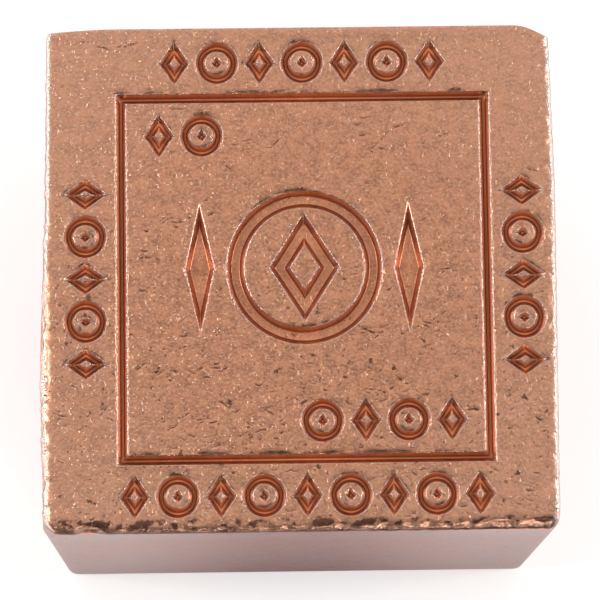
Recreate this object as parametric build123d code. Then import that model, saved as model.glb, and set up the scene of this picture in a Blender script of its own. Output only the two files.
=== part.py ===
from build123d import *
import os

# A one-pound cube of cast copper. It stands on its base, with the origin in the
# middle of the base, +Z up and the marked face on top. Lengths are in millimetres.

# The block
cube_side = 36.95  # its height, its depth over the flat faces, and its width from corner to corner
side_swell = 0.33  # how far the left and right sides bow out in the middle
upright_edge_radius = 0.9  # the four edges that run up and down
top_edge_radius = 0.5
base_edge_radius = 0.6

# The section of every recess in the marked face: sloping walls and a flat floor
wall_draft = 28  # degrees that a recess wall leans out from the upright
lip_width = 0.10  # the bevel where a wall meets the face, as wide as it is deep
line_mouth = 0.60  # a thin stroke, between the tops of its walls
line_depth = 0.50
figure_mouth = 1.14  # a broad stroke, between the tops of its walls
figure_depth = 0.62

# The square frame line, which sits slightly off the middle of the face
border_width = 5.26  # from the cube's side to the middle of the frame line
face_shift = 0.50  # the whole pattern sits this far towards +X

# The motifs of the bands and rows: lozenges, and rings with a small pit in them, in turn
motif_pitch = 3.10
lozenge_width = 1.40  # to the middle of the stroke, corner to corner
lozenge_height = 2.00
ring_diameter = 2.40  # to the middle of the stroke
pit_width = 0.70  # the pit is a lozenge too
pit_height = 0.90

# How many motifs stand in the border bands, in turn from the top to the left, bottom and right
band_counts = (7, 5, 9, 5)

# The two short rows in the frame's upper left and lower right corners
row_counts = (2, 4)
row_inset = 2.75  # from the frame's lines to the middle of a row's first motif

# The figure in the middle: a lozenge in a ring, with a slender lozenge on each side
figure_ring_diameter = 10.00  # to the middle of the stroke
figure_lozenge_width = 3.60  # to the middle of the stroke
figure_lozenge_height = 5.60
flank_width = 2.00  # over the mouth of a slender lozenge, which has no island
flank_height = 9.00
flank_gap = 1.00  # between the mouths of the ring and a slender lozenge
figure_rise = 0.70  # the figure sits this far above the middle of the frame


frame_side = cube_side - 2 * border_width  # to the middle of the line


def block():
    """The plain cube, with its two bowed sides and its worn edges."""
    half = cube_side / 2
    right = ThreePointArc((half, -half), (half + side_swell, 0), (half, half))
    back = Line((half, half), (-half, half))
    left = ThreePointArc((-half, half), (-half - side_swell, 0), (-half, -half))
    front = Line((-half, -half), (half, -half))
    cube = extrude(make_face([right, back, left, front]), amount=cube_side)
    cube = fillet(cube.edges().filter_by(Axis.Z), upright_edge_radius)
    cube = fillet(cube.faces().sort_by(Axis.Z)[-1].edges(), top_edge_radius)
    return fillet(cube.faces().sort_by(Axis.Z)[0].edges(), base_edge_radius)


def lozenge(width, height):
    """A lozenge on its point, centred on the origin."""
    corners = [(width / 2, 0), (0, height / 2), (-width / 2, 0), (0, -height / 2)]
    return Polygon(*corners, align=None)


def stroked(outline, mouth):
    """The outline drawn as a stroke of that width, with pointed corners."""
    outside = offset(outline, mouth / 2, kind=Kind.INTERSECTION)
    return outside - offset(outline, -mouth / 2, kind=Kind.INTERSECTION)


def sunk(shape, depth):
    """The tool that sinks a flat shape into the face, with a bevelled lip over its sloping walls."""
    lip = extrude(offset(shape, lip_width, kind=Kind.INTERSECTION), amount=-lip_width, taper=45)
    return lip + extrude(Pos(0, 0, -lip_width) * shape, amount=lip_width - depth, taper=wall_draft)


def motifs():
    """The tools of a lozenge and of a ring with its pit."""
    ring = stroked(Circle(ring_diameter / 2), line_mouth)
    pit = lozenge(pit_width, pit_height)
    plain = stroked(lozenge(lozenge_width, lozenge_height), line_mouth)
    return sunk(plain, line_depth), sunk(ring, line_depth) + sunk(pit, line_depth)


def row(count, reach, first):
    """Motifs in turn along X from the first one's place, at that reach up the face."""
    kinds = motifs()
    return [Pos(first + i * motif_pitch, reach, 0) * kinds[i % 2] for i in range(count)]


def bands():
    """A band in the middle of each border, each reading outwards from the frame."""
    reach = frame_side / 2 + border_width / 2
    tools = []
    for turn, count in enumerate(band_counts):
        first = -(count - 1) / 2 * motif_pitch
        tools += [Rot(0, 0, 90 * turn) * tool for tool in row(count, reach, first)]
    return tools


def rows():
    """The short rows, the second one turned half round from the first."""
    reach = frame_side / 2 - row_inset
    tools = []
    for turn, count in enumerate(row_counts):
        tools += [Rot(0, 0, 180 * turn) * tool for tool in row(count, reach, -reach)]
    return tools


def figure():
    """The lozenge in its ring, and a slender lozenge on each side of them."""
    ring = stroked(Circle(figure_ring_diameter / 2), figure_mouth)
    middle = stroked(lozenge(figure_lozenge_width, figure_lozenge_height), figure_mouth)
    flank = lozenge(flank_width, flank_height)
    side = (figure_ring_diameter + figure_mouth + flank_width) / 2 + flank_gap
    shapes = [ring, middle, Pos(-side, 0) * flank, Pos(side, 0) * flank]
    return [Pos(0, figure_rise, 0) * sunk(shape, figure_depth) for shape in shapes]


def copper_cube():
    """The block with every recess sunk into its top face."""
    frame = sunk(stroked(Rectangle(frame_side, frame_side), line_mouth), line_depth)
    tools = [frame] + bands() + rows() + figure()
    face = Pos(face_shift, 0, cube_side)
    return block() - [face * tool for tool in tools]


if __name__ == "__main__":
    os.makedirs("parts", exist_ok=True)
    export_step(copper_cube(), "parts/copper_cube.step")
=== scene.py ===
import itertools
import math
from collections import namedtuple

import bmesh
import bpy
import numpy as np
from mathutils import Matrix, Vector
from mathutils.geometry import delaunay_2d_cdt


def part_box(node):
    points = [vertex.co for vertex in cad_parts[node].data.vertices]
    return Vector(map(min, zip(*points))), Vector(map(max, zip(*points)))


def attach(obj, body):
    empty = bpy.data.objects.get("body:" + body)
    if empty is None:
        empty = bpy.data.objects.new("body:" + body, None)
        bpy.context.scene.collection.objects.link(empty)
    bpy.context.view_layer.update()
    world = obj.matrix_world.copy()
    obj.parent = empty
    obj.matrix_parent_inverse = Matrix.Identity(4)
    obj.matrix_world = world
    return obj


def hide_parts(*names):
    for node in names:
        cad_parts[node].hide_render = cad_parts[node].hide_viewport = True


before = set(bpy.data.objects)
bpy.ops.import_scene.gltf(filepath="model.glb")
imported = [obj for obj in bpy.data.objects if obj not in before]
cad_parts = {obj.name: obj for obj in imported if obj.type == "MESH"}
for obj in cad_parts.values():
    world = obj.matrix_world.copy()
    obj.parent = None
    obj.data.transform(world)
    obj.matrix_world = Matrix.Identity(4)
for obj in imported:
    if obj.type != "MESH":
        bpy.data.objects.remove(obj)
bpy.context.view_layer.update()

# The block. It is one casting of copper that weighs a pound: a cube whose left and right sides
# bow out a little, with an ornament sunk in its top face. Since it was cast, knocks have worn
# its edges round, flattened its corners and nicked its rim.
MM = 0.001  # lengths are in millimetres up to the finished mesh, and this turns them to metres
bowed_half_width, half_side, face_height = np.array(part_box("copper_cube")[1]) / MM

upright_edge_radius = 0.9
top_edge_radius = 0.5
base_edge_radius = 0.6

wall_draft = math.radians(28)  # that a recess wall leans out from the upright
lip_depth = 0.10  # under the face, where a mouth is measured
line_mouth, line_depth = 0.60, 0.50
figure_mouth, figure_depth = 1.14, 0.62
small_lip, large_lip = 0.12, 0.16  # radii
line_foot, figure_foot, pit_foot = 0.09, 0.10, 0.06
pit_row_spacing = 0.3  # of the rows of points across a pit's floor

border_width = 5.26  # from the side to the middle of the frame line
face_shift = 0.50  # of the whole pattern towards +X
motif_pitch = 3.10
lozenge_width, lozenge_height = 1.40, 2.00
ring_diameter = 2.40
pit_width, pit_height = 0.70, 0.90
band_counts = (7, 5, 9, 5)  # in turn from the far border to the left, near and right ones
row_counts = (2, 4)
row_inset = 2.75
figure_ring_diameter = 10.00
figure_lozenge_width, figure_lozenge_height = 3.60, 5.60
flank_width, flank_height = 2.00, 9.00
flank_gap = 1.00
figure_rise = 0.70

Outline = namedtuple("Outline", "points mitres level")
Recess = namedtuple("Recess", "outline mouth depth lip foot")
quarter_turn = np.array([[0, 1], [-1, 0]])


def straight_line(corners, steps):
    """A closed outline with straight sides. Moved by d times its mitres it stays parallel to
    itself: between sides with normals a and b the mitre is (a + b) / (1 + a.b). The level of a
    spot is the largest of a.(spot - corner), so it is 0 on the outline and d on its parallels."""
    corners = np.array(corners, float)
    along = np.roll(corners, -1, axis=0) - corners
    normals = along[:, ::-1] * (1, -1) / np.linalg.norm(along, axis=1)[:, None]
    before = np.roll(normals, 1, axis=0)
    mitres = (normals + before) / (1 + (normals * before).sum(axis=1))[:, None]
    share = (np.arange(steps) / steps)[:, None]
    points = corners[:, None] + share * along[:, None]
    between = mitres[:, None] + share * (np.roll(mitres, -1, axis=0) - mitres)[:, None]
    return Outline(
        points.reshape(-1, 2),
        between.reshape(-1, 2),
        lambda spots: ((spots[:, None] - corners) * normals).sum(axis=2).max(axis=1),
    )


def lozenge(width, height, steps):
    """A closed lozenge on its point."""
    return straight_line([(width / 2, 0), (0, height / 2), (-width / 2, 0), (0, -height / 2)], steps)


def square(side, steps):
    """A closed square."""
    return straight_line(np.array([(1, -1), (1, 1), (-1, 1), (-1, -1)]) * side / 2, steps)


def ring(diameter, steps):
    """A circle r (cos t, sin t). Its mitres are its normals, and its level is |spot| - r."""
    turn = np.arange(steps) / steps * 2 * math.pi
    normals = np.stack([np.cos(turn), np.sin(turn)], axis=1)
    return Outline(
        diameter / 2 * normals,
        normals,
        lambda spots: np.hypot(*spots.T) - diameter / 2,
    )


def placed(outline, centre, quarters=0):
    """The outline after that many quarter turns about the origin, at its place on the face."""
    turn = np.linalg.matrix_power(quarter_turn, quarters)
    return Outline(
        outline.points @ turn + centre,
        outline.mitres @ turn,
        lambda spots: outline.level((spots - centre) @ turn.T),
    )


def motif_row(count, reach, first, quarters):
    """Lozenges and rings in turn, each ring with a pit in it, along a line at that reach from
    the middle, after that many quarter turns."""
    plain = lozenge(lozenge_width, lozenge_height, steps=6)
    round_one = ring(ring_diameter, steps=40)
    pit = lozenge(pit_width, pit_height, steps=4)
    kinds = (
        [Recess(plain, line_mouth, line_depth, small_lip, line_foot)],
        [Recess(round_one, line_mouth, line_depth, small_lip, line_foot),
         Recess(pit, 0, line_depth, small_lip, pit_foot)],
    )
    turn = np.linalg.matrix_power(quarter_turn, quarters)
    return [
        recess._replace(outline=placed(recess.outline, (first + i * motif_pitch, reach) @ turn, quarters))
        for i in range(count)
        for recess in kinds[i % 2]
    ]


def ornament():
    """All the recesses of the face: the frame line, the figure, and the bands and rows."""
    frame_reach = half_side - border_width
    side = (figure_ring_diameter + figure_mouth + flank_width) / 2 + flank_gap
    big_ring = placed(ring(figure_ring_diameter, steps=190), (0, figure_rise))
    middle = lozenge(figure_lozenge_width, figure_lozenge_height, steps=22)
    flank = lozenge(flank_width, flank_height, steps=26)
    found = [
        Recess(square(2 * frame_reach, steps=110), line_mouth, line_depth, large_lip, line_foot),
        Recess(big_ring, figure_mouth, figure_depth, large_lip, figure_foot),
        Recess(placed(middle, (0, figure_rise)), figure_mouth, figure_depth, large_lip, figure_foot),
        Recess(placed(flank, (-side, figure_rise)), 0, figure_depth, large_lip, figure_foot),
        Recess(placed(flank, (side, figure_rise)), 0, figure_depth, large_lip, figure_foot),
    ]
    for quarters, count in enumerate(band_counts):
        found += motif_row(count, frame_reach + border_width / 2, (1 - count) / 2 * motif_pitch, quarters)
    for half_turns, count in enumerate(row_counts):
        reach = frame_reach - row_inset
        found += motif_row(count, reach, -reach, 2 * half_turns)
    return [recess._replace(outline=placed(recess.outline, (face_shift, 0))) for recess in found]


def half_section(depth, lip_radius, foot_radius):
    """From the face to the foot of a recess's wall: the distance out from the mouth and the
    height. Lip and foot are arcs R (sin t, 1 - cos t), and the wall between them is straight."""
    bend = math.pi / 2 - wall_draft
    turn = np.linspace(0, bend, 5)
    lip_start = lip_depth * math.tan(wall_draft) + lip_radius * math.tan(bend / 2)
    foot_end = (lip_depth - depth) * math.tan(wall_draft) - foot_radius * math.tan(bend / 2)
    out = np.r_[lip_start - lip_radius * np.sin(turn), foot_end + foot_radius * np.sin(turn[::-1])]
    up = np.r_[lip_radius * (np.cos(turn) - 1), foot_radius * (1 - np.cos(turn[::-1])) - depth]
    return out, up


def section(recess):
    """Right across a stroke, or from the lip of a pit to its middle."""
    out, up = half_section(*recess[2:])
    if recess.mouth:
        out = out + recess.mouth / 2
        return np.r_[out, -out[::-1]], np.r_[up, up[::-1]]
    middle = recess.outline.level(recess.outline.points.mean(axis=0)[None])[0]
    rows = 1 + int((out[-1] - middle) / pit_row_spacing)
    return np.r_[out, np.linspace(out[-1], middle, rows + 1)[1:]], np.r_[up, [up[-1]] * rows]


def bowed(spots):
    """Spots of a straight-sided block, moved as its left and right sides bow. A side moves out by
    a slope in y and a hump in y, and the spots between the sides by (|x| / half side)^7 of that."""
    x, y = spots.T
    left = -0.08 - 0.011 * y + 0.30 * np.exp(-((y + 5.5) / 7.5) ** 2)
    right = 0.125 + 0.195 * np.exp(-((y - 6) / np.where(y > 6, 7.5, 16)) ** 2)
    shift = np.where(x < 0, -left, right) * (np.abs(x) / half_side) ** 7
    return np.stack([x + shift, y], axis=1)


def rounded_square(side_steps, corner_steps):
    """The block from above: four quarter circles joined by straight or bowed sides, with its
    normals."""
    radius = upright_edge_radius
    turn = np.linspace(0, math.pi / 2, corner_steps + 1)
    around = np.stack([np.cos(turn), np.sin(turn)], axis=1)
    arc = half_side - radius + radius * around
    share = (np.arange(1, side_steps) / side_steps)[:, None]
    straight = arc[-1] - share * (2 * arc[-1, 0], 0)
    quarter = np.vstack([arc, straight])
    normals = np.vstack([around, np.repeat(around[-1:], len(straight), axis=0)])
    turns = [np.linalg.matrix_power(quarter_turn, quarters) for quarters in range(4)]
    return Outline(
        bowed(np.vstack([quarter @ turn for turn in turns])),
        np.vstack([normals @ turn for turn in turns]),
        None,
    )


def sideways_share(directions):
    """How much a direction on the face points left or right: |x| / length."""
    return np.abs(directions[:, 0]) / np.linalg.norm(directions, axis=1)


# What each point of the skin carries for the metal: how rubbed its edge is, which also places a
# painted highlight, how far it is a recess's wall or floor, which places painted shade and light,
# and how much painted shade a stroke has where it runs up and down the face
Patch = namedtuple("Patch", "vertices faces skin rubbed walled floored dulled")


def carried(outline, out, up, rubbed, walled, floored, dulled):
    """The surface that a section makes along a closed outline: point + out * mitre, and up.
    Its skin map is the way along the outline and the way along the section. Edges that face left
    and right are rubbed, and take the painted highlight, in full, and those that face near and far
    a third as much. The painted shade of a stroke is full where the outline runs up and down."""
    points, mitres = (np.vstack([part, part[:1]]) for part in outline[:2])
    steps, rows = len(points), len(out)
    flat = points[:, None] + mitres[:, None] * out[:, None]
    vertices = np.dstack([flat, np.broadcast_to(up, (steps, rows))])
    along = np.r_[0, np.cumsum(np.linalg.norm(np.diff(points, axis=0), axis=1))]
    across = np.r_[0, np.cumsum(np.hypot(np.diff(out), np.diff(up)))]
    first = (np.arange(steps - 1)[:, None] * rows + np.arange(rows - 1)).reshape(-1, 1)
    sideways = sideways_share(mitres)
    return Patch(
        vertices.reshape(-1, 3),
        first + (0, rows, rows + 1, 1),
        np.dstack(np.broadcast_arrays(along[:, None], across)).reshape(-1, 2),
        np.outer(0.35 + 0.65 * sideways, rubbed).ravel(),
        np.tile(walled, steps),
        np.tile(floored, steps),
        np.outer(sideways, dulled).ravel(),
    )


def recess_patch(recess):
    """The walls and floor of a recess, with painted shade on the walls, painted light on the floor
    and more painted shade on both where a stroke runs up and down. Its lips are rubbed to 0.1 mm
    under the face.
    """
    out, up = section(recess)
    lip = np.exp(-((up + 0.04) / 0.06) ** 2)
    steep = np.abs(np.gradient(up)) / np.hypot(np.gradient(out), np.gradient(up))
    inside = np.clip((-up - 0.08) / 0.14, 0, 1)
    narrow = recess.mouth == line_mouth
    floored = inside * (1 - steep) * (1.0 if narrow else 0.25)
    dulled = inside * (1 - 0.6 * steep) * (1.0 if narrow else 0.3)
    return carried(recess.outline, out, face_height + up, lip, inside * steep, floored, dulled)


def filled(loops, spots, height, kept):
    """A flat skin at that height: the Delaunay triangles of the loops and of the spots between
    them, without those whose middles the test kept() refuses."""
    ends = np.cumsum([len(loop) for loop in loops])
    after = np.arange(1, ends[-1] + 1)
    after[ends - 1] = ends - [len(loop) for loop in loops]
    edges = np.stack([np.arange(ends[-1]), after], axis=1)
    corners = np.vstack(loops + spots)
    found, _, triangles, *_ = delaunay_2d_cdt(corners.tolist(), edges.tolist(), [], 1, 1e-5)
    found = np.array([tuple(spot) for spot in found])
    triangles = np.array(triangles)
    triangles = triangles[kept(found[triangles].mean(axis=1))]
    used, triangles = np.unique(triangles, return_inverse=True)
    found, triangles = found[used], triangles.reshape(-1, 3)
    vertices = np.column_stack([found, np.full(len(found), height)])
    return Patch(vertices, triangles, found, *np.zeros((4, len(found))))


def scattered(spacing, reach):
    """Spots on a square grid, each shaken by up to three tenths of the spacing."""
    line = np.arange(-reach, reach, spacing)
    grid = np.stack(np.meshgrid(line, line), axis=-1).reshape(-1, 2)
    return grid + rng.uniform(-0.3, 0.3, grid.shape) * spacing


rng = np.random.default_rng(29)
recesses = ornament()
patches = [recess_patch(recess) for recess in recesses]
lip_reaches = []
loops = []
collars = []  # rows of spots round each recess, with their gap from its lips
for recess in recesses:
    lip_reach = section(recess)[0][0]
    lip_reaches.append(lip_reach)
    ways = (lip_reach, -lip_reach) if recess.mouth else (lip_reach,)
    loops += [recess.outline.points + recess.outline.mitres * way for way in ways]
    for gap in (0.10, 0.23):
        collars += [
            (recess.outline.points + recess.outline.mitres * (way + math.copysign(gap, way)), gap)
            for way in ways
        ]

# The skirt is the four sides, with the roundings of the base and of the rim
skirt = rounded_square(side_steps=150, corner_steps=10)
base_turn = np.linspace(0, math.pi / 2, 6)
rim_turn = np.linspace(0, math.pi / 2, 9)
side_heights = np.linspace(base_edge_radius, face_height - top_edge_radius, 17)[1:-1]
skirt_out = np.r_[
    base_edge_radius * (np.sin(base_turn) - 1),
    0 * side_heights,
    top_edge_radius * (np.cos(rim_turn) - 1),
]
skirt_up = np.r_[
    base_edge_radius * (1 - np.cos(base_turn)),
    side_heights,
    face_height + top_edge_radius * (np.sin(rim_turn) - 1),
]
skirt_rubbed_and_highlit = np.r_[np.sin(2 * base_turn), 0 * side_heights, np.sin(2 * rim_turn)]
patches.append(carried(skirt, skirt_out, skirt_up, skirt_rubbed_and_highlit, *np.zeros((3, len(skirt_up)))))
rim_loop = skirt.points + skirt.mitres * skirt_out[-1]
base_loop = skirt.points + skirt.mitres * skirt_out[0]


def clearance(spots):
    """How far a spot of the face is from the nearest recess, negative inside one's lips."""
    nearest = np.full(len(spots), np.inf)
    for recess, reach in zip(recesses, lip_reaches):
        level = recess.outline.level(spots)
        nearest = np.minimum(nearest, (np.abs(level) if recess.mouth else level) - reach)
    return nearest


Crease = namedtuple("Crease", "path depth width")
crease_count = 300
cluster_chance = 0.4  # that a crease begins a new cluster
cluster_spread = (0.9, 0.3)
corner_creases = 12  # the first ones, which are all in the far left corner
corner_middle, corner_spread = (-15.2, 17.35), (1.3, 0.25)
plain_margin = 0.62  # that creases leave along the sides
crease_gap = 0.16  # that they leave round a recess


def creases():
    """Short wandering lines where the metal wrinkled as it set. They lie across the face in
    clusters, most of them in its near half. A path turns steadily, with a little shake."""
    made = []
    while len(made) < crease_count:
        if not made or rng.random() < cluster_chance:
            middle = rng.uniform(-1, 1) * half_side, half_side * (2 * rng.beta(1.1, 2.3) - 1)
        x, y = rng.normal(middle, cluster_spread)
        if len(made) < corner_creases:
            x, y = rng.normal(corner_middle, corner_spread)
        length = rng.gamma(1.5, 0.28) + 0.16
        t = np.linspace(-0.5, 0.5, max(4, int(length / 0.07)))
        heading = rng.normal(0.10, 0.26) + rng.normal(0, 0.9) * t
        heading = np.clip(heading + np.cumsum(rng.normal(0, 0.16, len(t))), -0.65, 0.75)
        steps = np.stack([np.cos(heading), np.sin(heading)], axis=1) * length / len(t)
        path = np.cumsum(steps, axis=0) + (x, y)
        if np.abs(path).max() < half_side - plain_margin and clearance(path).min() > crease_gap:
            made.append(Crease(path, 0.018 + 0.05 * rng.beta(1.5, 2), rng.uniform(0.03, 0.06)))
    return made


def beside(crease):
    """Spots along a crease and in rows on both sides of it, for the skin to bend on."""
    along = np.gradient(crease.path, axis=0)
    across = along[:, ::-1] * (-1, 1) / np.linalg.norm(along, axis=1)[:, None]
    return np.vstack([crease.path + across * way for way in (-0.13, -0.055, 0, 0.055, 0.13)])


def far_from(spots, others, distance):
    """Which of the spots lie farther than that from all of the others."""
    free = np.ones(len(spots), bool)
    for other in filter(len, others):
        low_corner, high_corner = other.min(axis=0) - distance, other.max(axis=0) + distance
        close = np.flatnonzero(((spots > low_corner) & (spots < high_corner)).all(axis=1))
        gaps = np.linalg.norm(spots[close, None] - other, axis=2).min(axis=1)
        free[close[gaps < distance]] = False
    return free


# The flat skins of the face and of the base. Rows of spots along the creases and round the
# recesses come first, and a shaken grid fills what is left.
face_spacing, base_spacing = 0.26, 1.0
chord_slack = 0.006  # how far a straight piece of a round lip may cut inside it
wrinkles = creases()
wrinkle_spots = [beside(crease) for crease in wrinkles]
for i, spots in enumerate(wrinkle_spots):
    wrinkle_spots[i] = spots[far_from(spots, wrinkle_spots[:i], 0.05) & (clearance(spots) > 0.05)]
collar_spots = [spots[np.abs(clearance(spots) - gap) < 0.01] for spots, gap in collars]
collar_spots = [spots[far_from(spots, wrinkle_spots, 0.08)] for spots in collar_spots if len(spots)]
face_spots = bowed(scattered(face_spacing, half_side - top_edge_radius - 0.14))
face_spots = face_spots[(clearance(face_spots) > 0.33) & far_from(face_spots, wrinkle_spots, 0.12)]
patches.append(filled(
    [rim_loop] + loops,
    wrinkle_spots + collar_spots + [face_spots],
    face_height,
    lambda spots: clearance(spots) > -chord_slack,
))
base_spots = bowed(scattered(base_spacing, half_side - base_edge_radius - 0.4))
patches.append(filled([base_loop], [base_spots], 0.0, lambda spots: np.ones(len(spots), bool)))


def noise(points, size, seed):
    """Smooth noise from -1 to 1: random values at the corners of boxes of that size, blended
    between them by 3 t^2 - 2 t^3 along each axis."""
    lattice = np.random.default_rng(seed).uniform(-1, 1, (32, 32, 32))
    place = points / np.asarray(size, float)
    cell = np.floor(place).astype(int)
    blend = (place - cell) ** 2 * (3 - 2 * (place - cell))
    total = np.zeros(len(points))
    for corner in itertools.product((0, 1), repeat=3):
        share = np.where(corner, blend, 1 - blend).prod(axis=1)
        total += share * lattice[tuple(((cell + corner) % 32).T)]
    return total


def knocked(points, spot, way, softness):
    """The points with what lies beyond a plane pressed back to it, as a blow flattens a corner:
    each moves back by s ln(1 + exp(d / s)), where d is how far beyond the plane it is. The
    plane's spot is given from the middle of the face, and the way that it faces."""
    direction = np.array(way, float) / np.linalg.norm(way)
    beyond = (points - spot - (0, 0, face_height)) @ direction
    back = softness * np.logaddexp(0, beyond / softness)
    back[beyond < -6 * softness] = 0
    return points - back[:, None] * direction


def wrinkled(points):
    """How far the skin sinks at each point: into each crease by d exp(-(u / w)^2), with u the
    distance from its path, and less towards its ends. Its sides stand a little proud, the far
    one more."""
    sunk = np.zeros(len(points))
    top = points[:, 2] > face_height - 0.03
    for crease in wrinkles:
        low_corner, high_corner = crease.path.min(axis=0) - 0.4, crease.path.max(axis=0) + 0.4
        within = (points[:, :2] > low_corner) & (points[:, :2] < high_corner)
        close = np.flatnonzero(top & within.all(axis=1))
        gaps = points[close, None, :2] - crease.path
        distance = np.linalg.norm(gaps, axis=2)
        nearest = distance.argmin(axis=1)
        u = distance.min(axis=1) / crease.width
        proud = np.where(gaps[np.arange(len(close)), nearest, 1] > 0, 0.3, 0.1)
        taper = 1 - np.abs(2 * nearest / (len(crease.path) - 1) - 1) ** 3
        sunk[close] += crease.depth * taper * (np.exp(-u ** 2) - proud * np.exp(-((u - 2.2) / 1.2) ** 2))
    return sunk


def ragged(points):
    """How far the skin slumps into the strokes at their far lips, which set last: by up to
    0.06 mm, unevenly, and less with the distance from the stroke. A far lip is where the gap
    from the recess grows with y."""
    near = np.flatnonzero(points[:, 2] > face_height - 0.16)
    lips = points[near]
    gap = clearance(lips[:, :2])
    nudge = 0.03
    slope = (clearance(lips[:, :2] + (0, nudge)) - gap) / nudge
    uneven = 0.5 + 0.5 * noise(lips, (0.35, 0.3, 1), seed=11) + 0.5 * noise(lips, (1.3, 0.8, 1), seed=12)
    slump = np.zeros(len(points))
    slump[near] = 0.045 * np.clip(slope, 0, 1) * np.exp(-(gap / 0.13) ** 2) * np.clip(uneven, 0, 1.4)
    return slump


# How each top edge is worn: its axis and way, then in millimetres its wear, how much of that
# comes and goes finely and coarsely, and how far in it reaches. The far one is sharper than the
# clean casting's, so its wear is below 0.
Rim = namedtuple("Rim", "axis way wear fine coarse reach")
near_rim = Rim(1, -1, 0.01, 0.09, 0.04, 0.60)
far_rim = Rim(1, 1, -0.10, 0.015, 0.012, 0.45)
left_rim = Rim(0, -1, 0.20, 0.16, 0.09, 0.45)
right_rim = Rim(0, 1, 0.02, 0.10, 0.06, 0.45)
sharpest = -0.12
extra_near_right = 0.03  # wear that the near rim has more at its right end


def worn_rims(points):
    """The way that each point near a top edge has moved, down and inwards alike: by the rim's
    wear plus its share of fine and coarse noise, less with the distance from the edge."""
    down = face_height - points[:, 2]
    moved = np.zeros_like(points)
    fine_noise = noise(points, (0.36, 0.36, 0.5), seed=21)
    coarse_noise = noise(points, (2.1, 2.1, 2.0), seed=22)
    for rim in (near_rim, far_rim, left_rim, right_rim):
        inward = np.abs((bowed_half_width, half_side)[rim.axis] - rim.way * points[:, rim.axis])
        inward, below = np.maximum(inward - 0.15, 0), np.maximum(down - 0.15, 0)
        close = np.exp(-(inward / rim.reach) ** 2 - (below / 0.45) ** 2)
        amount = rim.wear + rim.fine * fine_noise + rim.coarse * coarse_noise
        if rim is near_rim:
            amount = amount + extra_near_right * np.clip(points[:, 0] / half_side, 0, 1)
        amount = np.clip(amount, sharpest if rim is far_rim else 0, 1) * close
        moved[:, rim.axis] -= rim.way * amount
        moved[:, 2] -= amount
    return moved


chip_middle = -15.15  # along the near rim
chip_depth = 0.22


def chipped(points):
    """How much of the chip's depth each point has: exp(-(along / 0.85)^4 - (inward / 0.4)^2 -
    (down / 0.6)^2), with the way along the rim, in from the near side and down the side."""
    x, y, z = points.T
    inward, down = np.maximum(y + half_side - 0.1, 0), face_height - z
    return np.exp(-((x - chip_middle) / 0.85) ** 4 - (inward / 0.4) ** 2 - (down / 0.6) ** 2)


# The flats that blows have made: a spot on each, from the middle of the face, the way that it
# faces, and how softly it runs out
near_bevel = ((0, -half_side, -0.30), (0.007, -0.60, 0.80), 0.05)
corner_flats = (
    ((-17.97, -17.77, 0), (-0.70, -0.62, 0.35), 0.12),  # the near left corner
    ((-16.9, -18.22, -0.22), (-0.12, -0.70, 0.70), 0.04),  # the rim beside it
    ((17.8, -17.75, -0.15), (0.42, -0.40, 0.80), 0.05),  # near right
    ((17.8, 17.85, 0), (0.42, 0.84, 0.25), 0.12),  # far right
    ((-15.6, 18.36, -0.1), (-0.09, 0.93, 0.35), 0.05),  # the rim by the far left corner
)


def weathered(points, folds):
    """The clean casting's points, moved to where they are on the real one: pressed back, worn,
    chipped, sunk and hollowed in turn."""
    y, z = points[:, 1], points[:, 2]
    # the near rim is rubbed to a bevel, every rim is worn unevenly, and one has a chip out of it
    moved = knocked(points, *near_bevel) + worn_rims(points)
    chip = chip_depth * chipped(points)
    moved[:, 1] += chip
    moved[:, 2] -= chip
    # the face sinks here and there, and nothing stands proud of the casting's highest spots
    top = np.clip((z - face_height + 3) / 3, 0, 1) ** 2
    near_half = np.clip(0.5 - y / half_side, 0, 1)
    broad_sag = 0.015 * (1 + noise(points, 6.5, seed=1))
    fine_sag = (0.006 + 0.010 * near_half) * (1 + noise(points, (1.9, 1.1, 2.0), seed=2))
    moved[:, 2] -= top * (broad_sag + fine_sag) + folds
    moved[:, 1:] = np.minimum(moved[:, 1:], (half_side, face_height))
    # the near and far sides are a little hollow here and there
    hollow = 0.012 * (1 + noise(points, (7, 7, 5), seed=3)) * np.clip(z / 3, 0, 1)
    moved[:, 1] -= hollow * (y / half_side) ** 9
    for flat in corner_flats:
        moved = knocked(moved, *flat)
    return moved


def tarnish_and_painted_shade(points, folds, slump):
    """How much each point is darkened: painted shade where the skin is folded or slumped and in a
    line along the foot of the near rim's bevel, dark tarnish in a broken line behind that rim, and
    darkening on the left of its bevel and in a short line behind the chip. The chip itself is clean."""
    x, y, z = points.T
    inward = y + half_side
    by_rim = z > face_height - 0.4
    behind_rim = np.exp(-((inward - 0.60) / np.where(inward > 0.6, 0.42, 0.30)) ** 2) * by_rim
    on_bevel = np.clip(0.5 - x / 12, 0, 1) * np.clip(1 - inward / 0.5, 0, 1) * by_rim
    bevel_foot = np.exp(-((z - face_height + 0.35) / 0.11) ** 2) * (inward < 0.6)
    behind_chip = np.exp(-((inward - 0.72) / 0.14) ** 2 - ((x - chip_middle + 0.05) / 1.1) ** 4) * by_rim
    held = np.clip(folds / 0.06, 0, 1) + np.clip(slump / 0.05, 0, 1) * (z > face_height - 0.06)
    held += behind_rim * np.clip(0.35 + 2.4 * noise(points, (0.5, 0.28, 1), seed=31), 0, 1)
    held += 0.42 * on_bevel * np.clip(0.6 + 1.2 * noise(points, (0.6, 0.6, 0.6), seed=33), 0, 1)
    held += bevel_foot * np.clip(1.3 + 0.5 * noise(points, (0.9, 0.9, 0.9), seed=32), 0, 1.5)
    return held * (1 - 0.85 * chipped(points)) + 0.8 * behind_chip


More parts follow.
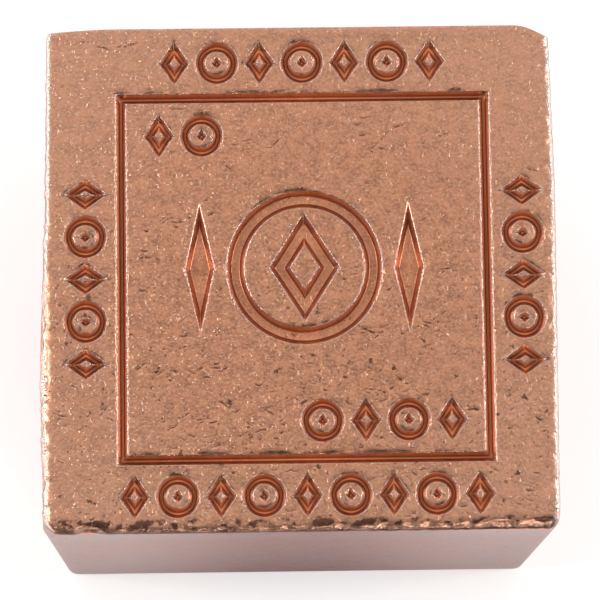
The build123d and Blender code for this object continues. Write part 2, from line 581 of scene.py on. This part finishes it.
weld_reach = 0.0015
points = np.vstack([patch.vertices for patch in patches])
skin = np.vstack([patch.skin for patch in patches])
folds = wrinkled(points)
slump = ragged(points)
qualities = {
    name: np.hstack([getattr(patch, name) for patch in patches])
    for name in ("rubbed", "walled", "floored", "dulled")
}
qualities["stained"] = tarnish_and_painted_shade(points, folds, slump)
starts = np.cumsum([0] + [len(patch.vertices) for patch in patches])
faces = [face for start, patch in zip(starts, patches) for face in (patch.faces + start).tolist()]

mesh = bpy.data.meshes.new("cast_block")
mesh.from_pydata((weathered(points, folds + slump) * MM).tolist(), [], faces)
corner_vertices = np.empty(len(mesh.loops), int)
mesh.loops.foreach_get("vertex_index", corner_vertices)
mesh.uv_layers.new(name="skin").uv.foreach_set("vector", skin[corner_vertices].ravel())
for name, values in qualities.items():
    mesh.attributes.new(name, "FLOAT", "POINT").data.foreach_set("value", values)

welded = bmesh.new()
welded.from_mesh(mesh)
bmesh.ops.remove_doubles(welded, verts=welded.verts, dist=weld_reach * MM)
bmesh.ops.recalc_face_normals(welded, faces=welded.faces)
welded.to_mesh(mesh)
welded.free()
mesh.shade_smooth()


def linear(hex_colour):
    """An sRGB hex colour as linear light."""
    values = np.array([int(hex_colour[i:i + 2], 16) for i in (1, 3, 5)]) / 255
    return (*np.where(values <= 0.04045, values / 12.92, ((values + 0.055) / 1.055) ** 2.4), 1)


def add(tree, kind, links=None, **settings):
    """Adds a node, with settings on the node or, by name, values or links on its sockets."""
    node = tree.nodes.new("ShaderNode" + kind)
    for name, value in settings.items():
        setattr(node, name, value)
    for socket, value in (links or {}).items():
        if isinstance(value, bpy.types.NodeSocket):
            tree.links.new(value, node.inputs[socket])
        else:
            node.inputs[socket].default_value = value
    return node


# The metal is cast copper with its satin skin left on: a warm red brown that a thin oxide
# mottles. The eye sees fine pale scratches, partly painted glints, and dark specks on the face,
# painted light in the floors of the strokes, painted shade on their walls, and rubbed edges that
# are smoother and catch the light, with a painted highlight where they face left and right.
copper = bpy.data.materials.new("cast_copper_satin")
copper.use_nodes = True
tree = copper.node_tree
tree.nodes.clear()
coordinates = add(tree, "TexCoord")
place = add(tree, "VectorMath", {
    0: coordinates.outputs["Object"], "Scale": 1 / MM,
}, operation="SCALE").outputs[0]
place_parts = add(tree, "SeparateXYZ", {0: place}).outputs
outwards = add(tree, "VectorMath", {0: place, 1: (1, 1, 0)}, operation="MULTIPLY").outputs[0]
from_middle = add(tree, "VectorMath", {0: outwards}, operation="LENGTH").outputs["Value"]
both_ways = add(tree, "VectorMath", {0: place}, operation="ABSOLUTE").outputs[0]
reaches = add(tree, "SeparateXYZ", {0: both_ways}).outputs
from_side_middle = add(tree, "Math", {0: reaches["X"], 1: reaches["Y"]}, operation="MINIMUM").outputs[0]
normal = add(tree, "SeparateXYZ", {0: coordinates.outputs["Normal"]}).outputs
sideways = add(tree, "Math", {0: normal["X"]}, operation="ABSOLUTE").outputs[0]
skin_place = add(tree, "UVMap", uv_map="skin").outputs["UV"]
rubbed, walled, floored, dulled, stained = (
    add(tree, "Attribute", attribute_name=name).outputs["Fac"] for name in qualities
)

# The size in millimetres of each noise's patches, then its detail and roughness. The grain of
# the real skin is under 0.1 mm, and it is drawn at 0.21 mm so that it shows.
mottle, grain, rim_grain, cluster, speck, mark = (
    add(tree, "TexNoise", {
        "Vector": place, "Scale": 1 / size, "Detail": detail, "Roughness": roughness,
    }).outputs[0]
    for size, detail, roughness in (
        (0.90, 4.0, 0.62),  # mottle, the patches of oxide
        (0.21, 2.0, 0.60),  # grain of the skin
        (0.21, 1.5, 0.50),  # rim_grain, the small flats of a rubbed edge
        (1.60, 1.0, 0.50),  # cluster, where scratches lie together
        (0.30, 1.0, 0.50),  # speck, a pinhole with oxide in it
        (0.55, 3.0, 0.60),  # mark, a larger dark spot
    )
)

# Flow lines run round the sides, 2.5 mm long and 0.2 mm high
streak_length, streak_height = 2.5, 0.2
per_streak = (1 / streak_length, 1 / streak_length, 1 / streak_height)
in_streaks = add(tree, "VectorMath", {0: place, 1: per_streak}, operation="MULTIPLY").outputs[0]
streak = add(tree, "TexNoise", {"Vector": in_streaks, "Scale": 1.0, "Detail": 2.0}).outputs[0]

# Scratches bend every 0.22 mm. Real ones are 0.02 to 0.05 mm wide, and they are drawn as
# ellipses 0.10 and 0.12 mm wide so that they show.
bend_size = 0.22
wander = add(tree, "TexNoise", {
    "Vector": skin_place, "Scale": 1 / bend_size, "Detail": 1.0,
}, noise_dimensions="2D").outputs["Color"]
bend = add(tree, "VectorMath", {0: wander, "Scale": bend_size}, operation="SCALE").outputs[0]
bent_place = add(tree, "VectorMath", {0: skin_place, 1: bend}, operation="ADD").outputs[0]
scratched_share = 0.85  # of the cells


def scratches(cell, length, width, shift):
    """Short scratches, strong and faint: in most cells of a Voronoi pattern, an ellipse of that
    length and width about the cell's spot, turned by a random angle."""
    moved = add(tree, "VectorMath", {0: bent_place, 1: shift}, operation="ADD").outputs[0]
    cells = add(tree, "TexVoronoi", {"Vector": moved, "Scale": 1 / cell}, voronoi_dimensions="2D").outputs
    offset = add(tree, "VectorMath", {0: moved, 1: cells["Position"]}, operation="SUBTRACT").outputs[0]
    chance = add(tree, "SeparateColor", {0: cells["Color"]}).outputs
    angle = add(tree, "Math", {0: chance["Red"], 1: 2 * math.pi}, operation="MULTIPLY").outputs[0]
    turned = add(tree, "VectorRotate", {"Vector": offset, "Angle": angle}, rotation_type="Z_AXIS").outputs[0]
    to_circle = (2 / length, 2 / width, 0)
    shaped = add(tree, "VectorMath", {0: turned, 1: to_circle}, operation="MULTIPLY").outputs[0]
    reach = add(tree, "VectorMath", {0: shaped}, operation="LENGTH").outputs["Value"]
    inside, seen = (
        add(tree, "MapRange", {
            "Value": value, "From Min": start, "From Max": end,
        }, interpolation_type="SMOOTHSTEP").outputs["Result"]
        for value, start, end in ((reach, 1.0, 0.35), (chance["Green"], scratched_share, 0.0))
    )
    return add(tree, "Math", {0: inside, 1: seen}, operation="MULTIPLY").outputs[0]


long_scratches = scratches(cell=0.66, length=0.44, width=0.10, shift=(3.1, 7.7, 0))
short_scratches = scratches(cell=0.34, length=0.20, width=0.12, shift=(11.3, 2.9, 0))

# Smooth steps: what each follows, from which value to which, and its result at those two. A
# place is in millimetres.
frayed = add(tree, "Math", {0: grain, 1: 1.1, 2: stained}, operation="MULTIPLY_ADD").outputs[0]
step_sockets = ("Value", "From Min", "From Max", "To Min", "To Max")
step = {
    name: add(
        tree, "MapRange", dict(zip(step_sockets, values)), interpolation_type="SMOOTHSTEP"
    ).outputs["Result"]
    for name, *values in (
        ("bare of walls", walled, 0.25, 0.0, 0.0, 1.0),
        ("flat", normal["Z"], 0.4, 0.9, 0.45, 1.0),
        ("leaning", normal["Z"], 0.6, 0.1, 0.0, 1.0),
        ("upright", normal["Z"], 0.4, 0.1, 0.0, 1.0),
        ("left", place_parts["X"], -17.0, 10.0, 1.0, 0.6),
        ("near", place_parts["Y"], 10.0, -6.0, 0.0, 1.0),
        ("high", place_parts["Z"], 28.0, 36.5, 0.0, 1.0),
        ("low", place_parts["Z"], 30.0, 3.0, 0.0, 1.0),
        ("lower", place_parts["Z"], 34.0, 2.0, 0.5, 0.75),
        ("border", from_middle, 9.0, 24.0, 0.0, 1.0),
        ("side middle", from_side_middle, 15.0, 1.0, 0.0, 1.0),
        ("bright oxide", mottle, 0.36, 0.64, 0.0, 1.0),
        ("bright grain", grain, 0.34, 0.68, 0.0, 1.0),
        ("speck", speck, 0.34, 0.24, 0.0, 1.0),
        ("mark", mark, 0.41, 0.33, 0.0, 1.0),
        ("cluster", cluster, 0.38, 0.58, 0.45, 1.0),
        ("between clusters", cluster, 0.52, 0.38, 0.0, 1.0),
        ("stain", frayed, 0.75, 1.25, 0.0, 1.0),
        ("clear of walls", walled, 0.4, 0.0, 0.0, 1.0),
        ("sideways", sideways, 0.05, 0.35, 0.2, 0.85),
        ("short scratch depth", place_parts["X"], -17.0, 10.0, 0.5, 0.25),
        ("skin roughness", mottle, 0.3, 0.7, 0.30, 0.38),
    )
}
step["more specks near"] = add(tree, "MapRange", {
    "Value": step["near"], "To Min": 0.25, "To Max": 0.6,
}, interpolation_type="SMOOTHSTEP").outputs["Result"]
on_face = add(tree, "Math", {0: step["bare of walls"], 1: step["flat"]}, operation="MULTIPLY").outputs[0]
dull_and_shaded = add(tree, "Math", {0: step["side middle"], 1: step["leaning"]}, operation="MULTIPLY").outputs[0]

# The colours lie one over the other, each by the product of its shares
metal = linear("#C0836A")
for colour, share, *others in (
    ("#E39B79", step["bright oxide"]),
    ("#F6B78E", step["bright grain"], 0.70),
    ("#F2BA9E", on_face, step["border"], 0.35),  # the face is paler towards its borders
    ("#CDA898", step["leaning"], 0.40),  # painted reflection of the white floor: the sides are greyer
    ("#E2CFC8", step["high"], step["upright"], 0.35),  # and a painted reflection makes them palest under the rim
    # painted shade: the sides are darker towards the base
    ("#94705F", step["low"], step["upright"], 0.28),
    ("#8A5A50", dull_and_shaded, step["lower"]),  # painted shade: each side is darker in its middle, more so lower down
    ("#744638", on_face, step["speck"], step["more specks near"]),
    ("#5A3D3A", on_face, step["mark"], step["near"], step["between clusters"], 0.85),
    # pale scratches, partly painted glints, stronger towards the left
    ("#FFD8B6", on_face, step["cluster"], step["left"], short_scratches, 0.9),
    ("#FFDFC4", on_face, step["cluster"], step["left"], long_scratches, 0.95),
    # dark tarnish, and painted shade in the creases, the sunk lips and under the near bevel
    ("#56362F", step["stain"], step["clear of walls"], 0.85),
    # painted shade on recess walls, painted light on their floors, more painted shade in upright strokes
    ("#C88661", walled, 0.9),
    ("#F29160", floored, 0.95),
    ("#80442E", dulled, 0.85),
    # rubbed copper is paler, and this pale colour is also a painted highlight where an edge faces left and
    # right
    ("#F6DDD2", rubbed, step["sideways"]),
):
    for other in others:
        share = add(tree, "Math", {0: share, 1: other}, operation="MULTIPLY").outputs[0]
    metal = add(tree, "Mix", {"Factor": share, 6: metal, 7: linear(colour)}, data_type="RGBA").outputs[2]

# The relief is the sum of these, each the product of its shares, in steps of 0.04 mm
relief_step = 0.04
relief = mottle
for height, *shares in (
    (grain, 0.55),
    (long_scratches, 0.55),
    (short_scratches, step["short scratch depth"]),
    (rim_grain, rubbed, rubbed, 3.6),
    (streak, step["upright"], 1.2),
):
    for share in shares:
        height = add(tree, "Math", {0: height, 1: share}, operation="MULTIPLY").outputs[0]
    relief = add(tree, "Math", {0: relief, 1: height}, operation="ADD").outputs[0]
relief_strength = add(tree, "Math", {0: on_face, 1: 0.9}, operation="MULTIPLY").outputs[0]
bumped = add(tree, "Bump", {"Strength": relief_strength, "Distance": relief_step * MM, "Height": relief})

rubbed_roughness, extra_dull_roughness = 0.26, 0.12
skin_roughness = add(tree, "Math", {
    0: dull_and_shaded, 1: extra_dull_roughness, 2: step["skin roughness"],
}, operation="MULTIPLY_ADD").outputs[0]
roughness = add(tree, "Mix", {
    "Factor": rubbed, 2: skin_roughness, 3: rubbed_roughness,
}, data_type="FLOAT").outputs[0]
shader = add(tree, "BsdfPrincipled", {
    "Base Color": metal, "Metallic": 1.0, "Roughness": roughness, "Normal": bumped.outputs[0],
    "Specular Tint": linear("#BDCBD9"),
})
add(tree, "OutputMaterial", {"Surface": shader.outputs["BSDF"]})
mesh.materials.append(copper)

block = bpy.data.objects.new("cast_block", mesh)
bpy.context.scene.collection.objects.link(block)
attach(block, "root")
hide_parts("copper_cube")

# The floor. A sheet of matt white paper, bright enough to read as the white ground of the
# photograph. It glows less round the block, as a soft shadow, and less towards the viewer.
floor_reach = 3.0
paper = bpy.data.materials.new("white_paper")
paper.use_nodes = True
tree = paper.node_tree
tree.nodes.clear()
floor_place = add(tree, "TexCoord").outputs["Object"]
away = add(tree, "VectorMath", {0: floor_place}, operation="LENGTH").outputs["Value"]
back = add(tree, "SeparateXYZ", {0: floor_place}).outputs["Y"]
glow = 1.0
for values in ((away, 0.02, 0.16, 0.46, 1.0), (back, -0.16, -0.03, 0.3, 1.0)):
    part = add(tree, "MapRange", dict(zip(step_sockets, values)), interpolation_type="SMOOTHSTEP")
    glow = add(tree, "Math", {0: glow, 1: part.outputs["Result"]}, operation="MULTIPLY").outputs[0]
sheet = add(tree, "BsdfPrincipled", {
    "Base Color": linear("#EEEEEE"), "Roughness": 0.9, "Specular IOR Level": 0.0,
    "Emission Color": (1, 1, 1, 1), "Emission Strength": glow,
})
add(tree, "OutputMaterial", {"Surface": sheet.outputs["BSDF"]})
corners = [(x * floor_reach, y * floor_reach, 0) for x, y in ((-1, -1), (1, -1), (1, 1), (-1, 1))]
floor_mesh = bpy.data.meshes.new("paper_floor")
floor_mesh.from_pydata(corners, [], [(0, 1, 2, 3)])
floor_mesh.materials.append(paper)
floor = bpy.data.objects.new("paper_floor", floor_mesh)
bpy.context.scene.collection.objects.link(floor)

# The light. A white tent that is dark towards the viewer and bright behind the block, with two
# soft panels at its sides and a narrow strip at the front right.
seen_brightness = 0.95  # of the tent, to the camera alone
world = bpy.data.worlds.new("studio")
bpy.context.scene.world = world
world.use_nodes = True
tree = world.node_tree
tree.nodes.clear()
heading = add(tree, "SeparateXYZ", {0: add(tree, "TexCoord").outputs["Generated"]}).outputs
tent = 1.0
for values in (
    (heading["Y"], -0.60, 0.50, 0.12, 0.81),
    (heading["X"], -0.8, 0.8, 1.15, 0.85),
    (heading["Z"], 0.1, 0.9, 0.55, 1.0),
):
    part = add(tree, "MapRange", dict(zip(step_sockets, values)), interpolation_type="SMOOTHSTEP")
    tent = add(tree, "Math", {0: tent, 1: part.outputs["Result"]}, operation="MULTIPLY").outputs[0]
seen = add(tree, "LightPath").outputs["Is Camera Ray"]
strength = add(tree, "Mix", {"Factor": seen, 2: tent, 3: seen_brightness}, data_type="FLOAT").outputs[0]
backdrop = add(tree, "Background", {"Color": (1, 1, 1, 1), "Strength": strength})
add(tree, "OutputWorld", {"Surface": backdrop.outputs["Background"]})


def panel(name, place, width, tall, radiance):
    """A soft rectangular light that faces the middle of the block's top. Its watts are
    radiance x pi x area."""
    lamp = bpy.data.lights.new(name, "AREA")
    lamp.shape = "RECTANGLE"
    lamp.size, lamp.size_y = width, tall
    lamp.energy = radiance * math.pi * width * tall
    holder = bpy.data.objects.new(name, lamp)
    aim = Vector((0, 0, face_height * MM)) - Vector(place)
    holder.matrix_world = Matrix.Translation(place) @ aim.to_track_quat("-Z", "Y").to_matrix().to_4x4()
    bpy.context.scene.collection.objects.link(holder)


panel("left_panel", (-0.395, 0.0, 0.295), 0.11, 0.32, 7.5)
panel("right_panel", (0.395, 0.0, 0.295), 0.11, 0.32, 7.5)
panel("front_strip", (0.12, -0.370, 0.295), 0.14, 0.03, 18.0)

# The camera. It looks down on the marked face from a little to the front, through a long lens,
# so that the block's sides hardly run together.
camera_place = np.array((-3.395, -41.552, 296.676)) * MM
pitch, lean, roll = (math.radians(degrees) for degrees in (8.72, -0.77, -0.67))
turned = Matrix.Rotation(pitch, 3, "X") @ Matrix.Rotation(lean, 3, "Y") @ Matrix.Rotation(roll, 3, "Z")
lens = bpy.data.cameras.new("camera")
lens.sensor_width = 36
lens.lens = 218.46
lens.clip_start = 0.01
camera = bpy.data.objects.new("camera", lens)
camera.matrix_world = Matrix.Translation(camera_place) @ turned.to_4x4()
bpy.context.scene.collection.objects.link(camera)
bpy.context.scene.camera = camera
bpy.context.scene.view_settings.view_transform = "Standard"
